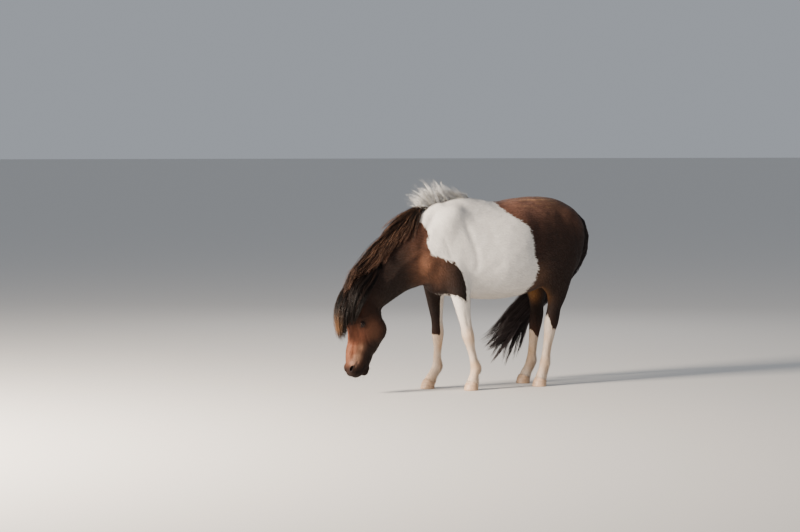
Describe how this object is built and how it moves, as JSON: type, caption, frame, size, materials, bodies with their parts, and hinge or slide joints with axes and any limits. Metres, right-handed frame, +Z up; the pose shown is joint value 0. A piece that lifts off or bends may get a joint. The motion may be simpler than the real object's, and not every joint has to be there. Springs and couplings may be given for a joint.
{
  "type": "icelandic horse",
  "caption": "Life-size Icelandic horse, brown and white pinto, grazing with lowered head, long mane and forelock, and a long tail swept forward beside its hind leg.",
  "frame": {"origin": "on the ground, at the centre of the outline's box seen from above", "axes": "+Z up, the horse faces -X, its left side is -Y"},
  "size_m": [2.1488, 0.6282, 1.4791],
  "materials": {
    "brown_coat": "short brown fur, soft and slightly glossy",
    "white_coat": "short white fur, thick and soft",
    "long_hair": "long dark hair in locks",
    "horn": "pale hoof horn with fine growth rings",
    "eye": "wet, nearly black eye"
  },
  "bodies": {
    "root": {"head": "brown_coat", "neck": "brown_coat", "torso": "white_coat", "tail": "long_hair", "ear_left": "brown_coat", "ear_right": "brown_coat", "eye_left": "eye", "eye_right": "eye", "foreleg_left_upper": "white_coat", "foreleg_left_lower": "white_coat", "foreleg_left_hoof": "horn", "foreleg_right_upper": "white_coat", "foreleg_right_lower": "white_coat", "foreleg_right_hoof": "horn", "hindleg_left_upper": "white_coat", "hindleg_left_lower": "white_coat", "hindleg_left_hoof": "horn", "hindleg_right_upper": "white_coat", "hindleg_right_lower": "white_coat", "hindleg_right_hoof": "horn"}
  },
  "joints": []
}
